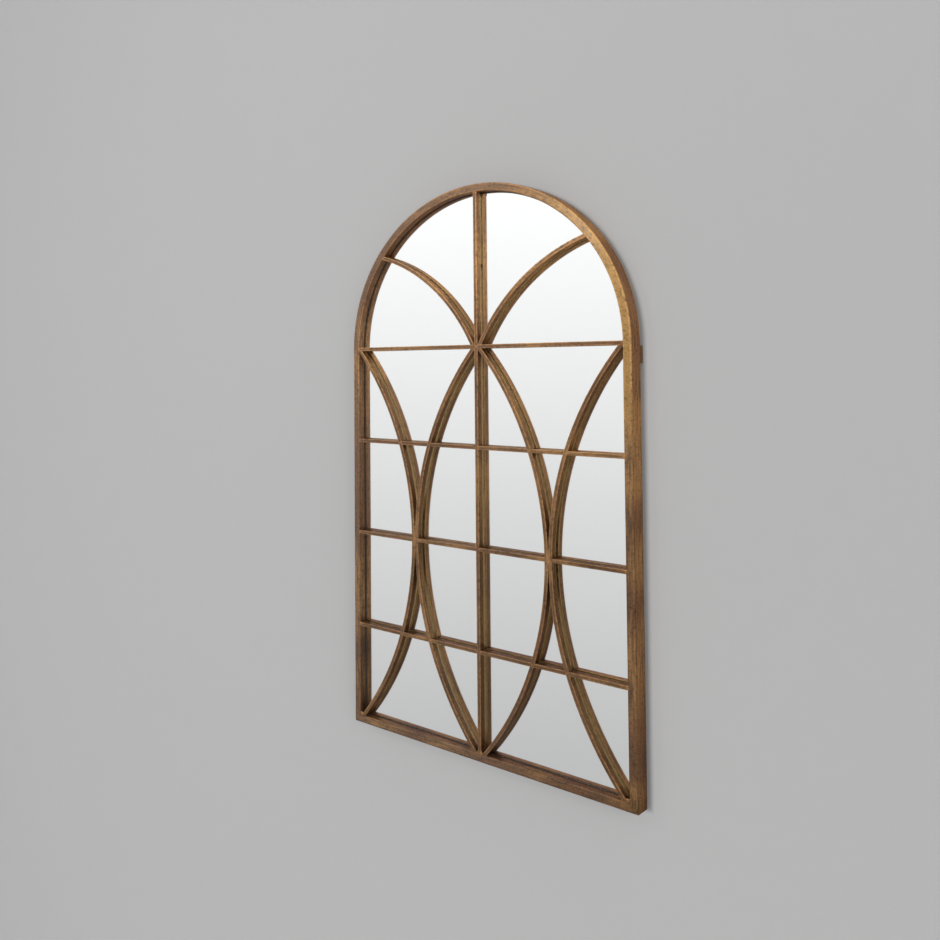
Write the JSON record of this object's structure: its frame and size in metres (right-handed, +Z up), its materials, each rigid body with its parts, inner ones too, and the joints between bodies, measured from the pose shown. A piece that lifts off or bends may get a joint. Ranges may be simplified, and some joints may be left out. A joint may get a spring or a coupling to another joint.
{
  "type": "arched window mirror",
  "caption": "Wall mirror shaped like a round-headed window: a patinated steel frame and grille of bars and crossing arcs over one sheet of mirror glass.",
  "frame": {"origin": "middle of the box of the whole mirror with its brackets", "axes": "+Z up, +Y from the glass towards the wall, +X to the right of someone who faces the mirror"},
  "size_m": [0.8, 0.057, 1.4],
  "materials": {
    "patinated_steel": "waxed brown and copper patina on steel, satin, worn brighter on the edges",
    "bracket_steel": "dark brown patina on folded sheet steel",
    "mirror_glass": "clear float glass silvered on its back",
    "backing_board": "brown hardboard, plain face",
    "rubber": "black moulded rubber",
    "zinc_steel": "zinc-plated strip"
  },
  "bodies": {
    "root": {"frame_arch": "patinated_steel", "frame_stile_left": "patinated_steel", "frame_stile_right": "patinated_steel", "frame_bottom_rail": "patinated_steel", "centre_bar": "patinated_steel", "spring_bar_left": "patinated_steel", "upper_bar_left": "patinated_steel", "lower_bar_left": "patinated_steel", "spring_bar_right": "patinated_steel", "upper_bar_right": "patinated_steel", "lower_bar_right": "patinated_steel", "middle_bar_left_inner": "patinated_steel", "middle_bar_left_outer": "patinated_steel", "middle_bar_right_inner": "patinated_steel", "middle_bar_right_outer": "patinated_steel", "inner_arc_left": "patinated_steel", "outer_arc_left": "patinated_steel", "crown_arc_left": "patinated_steel", "inner_arc_right": "patinated_steel", "outer_arc_right": "patinated_steel", "crown_arc_right": "patinated_steel", "hanging_bracket_left": "bracket_steel", "hanging_bracket_right": "bracket_steel", "mirror_glass": "mirror_glass", "backing_board": "backing_board", "spacer_pad_crown": "rubber", "spacer_pad_hub": "rubber", "spacer_pad_foot": "rubber", "spacer_pad_left": "rubber", "spacer_pad_right": "rubber", "retaining_clip_1": "zinc_steel", "retaining_clip_2": "zinc_steel", "retaining_clip_3": "zinc_steel", "retaining_clip_4": "zinc_steel", "retaining_clip_5": "zinc_steel", "retaining_clip_6": "zinc_steel", "retaining_clip_7": "zinc_steel", "retaining_clip_8": "zinc_steel", "retaining_clip_9": "zinc_steel", "retaining_clip_10": "zinc_steel"}
  },
  "joints": []
}
